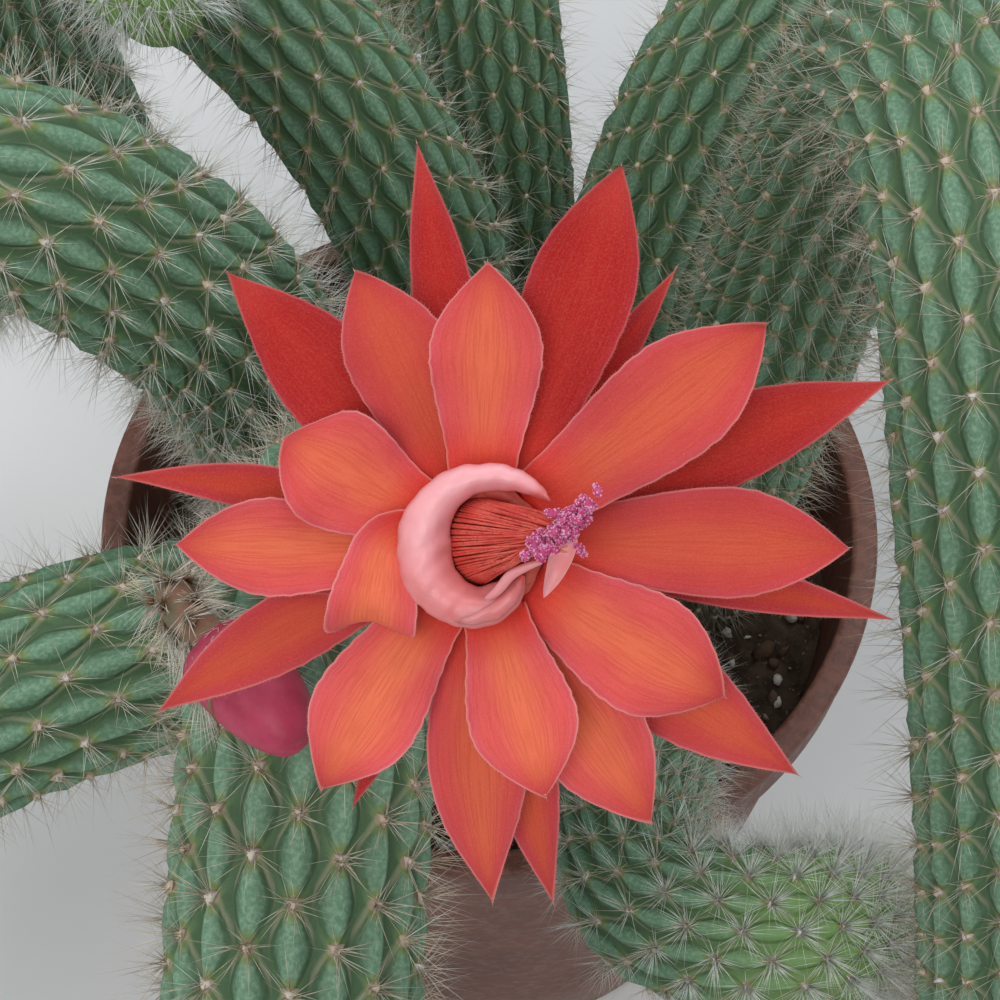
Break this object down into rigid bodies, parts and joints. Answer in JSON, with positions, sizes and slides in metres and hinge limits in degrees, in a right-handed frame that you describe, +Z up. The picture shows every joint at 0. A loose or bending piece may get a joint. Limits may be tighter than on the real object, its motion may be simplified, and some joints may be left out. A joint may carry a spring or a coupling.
{
  "type": "potted monkey tail cactus",
  "caption": "Trailing cactus with long bristly stems arching out of a round nursery pot, one open salmon-red flower and a bud.",
  "frame": {"origin": "centre of the pot's flat underside", "axes": "+Z up the pot's axis, -Y towards the plant's front, where the flower leans out, +X to its right seen from the front"},
  "size_m": [0.3325, 0.3314, 0.3043],
  "materials": {
    "pot_plastic": "satin",
    "potting_mix": "matte",
    "stem_flesh": "satin",
    "spine_hair": "matte",
    "inner_tepal": "matte",
    "outer_tepal": "matte",
    "collar": "satin",
    "filament": "satin",
    "style": "satin",
    "anther": "matte",
    "flower_tube": "satin",
    "bud": "satin"
  },
  "bodies": {
    "root": {"pot": "pot_plastic", "potting_mix": "potting_mix", "stem_flowering": "stem_flesh", "stem_high_left": "stem_flesh", "stem_low_left": "stem_flesh", "stem_short_front": "stem_flesh", "stem_right": "stem_flesh", "stem_back_left": "stem_flesh", "stem_young": "stem_flesh", "stem_back_right": "stem_flesh", "stem_back": "stem_flesh", "tepal_01": "inner_tepal", "tepal_02": "inner_tepal", "tepal_03": "inner_tepal", "tepal_04": "inner_tepal", "tepal_05": "inner_tepal", "tepal_06": "inner_tepal", "tepal_07": "inner_tepal", "tepal_08": "inner_tepal", "tepal_09": "inner_tepal", "tepal_10": "inner_tepal", "tepal_11": "inner_tepal", "tepal_12": "inner_tepal", "tepal_13": "outer_tepal", "tepal_14": "outer_tepal", "tepal_15": "outer_tepal", "tepal_16": "outer_tepal", "tepal_17": "outer_tepal", "tepal_18": "outer_tepal", "tepal_19": "outer_tepal", "tepal_20": "outer_tepal", "tepal_21": "outer_tepal", "tepal_22": "outer_tepal", "tepal_23": "outer_tepal", "tepal_24": "outer_tepal", "tepal_25": "outer_tepal", "collar": "collar", "filaments": "filament", "style": "style", "anthers": "anther", "flower_tube": "flower_tube", "bud": "bud"}
  },
  "joints": []
}
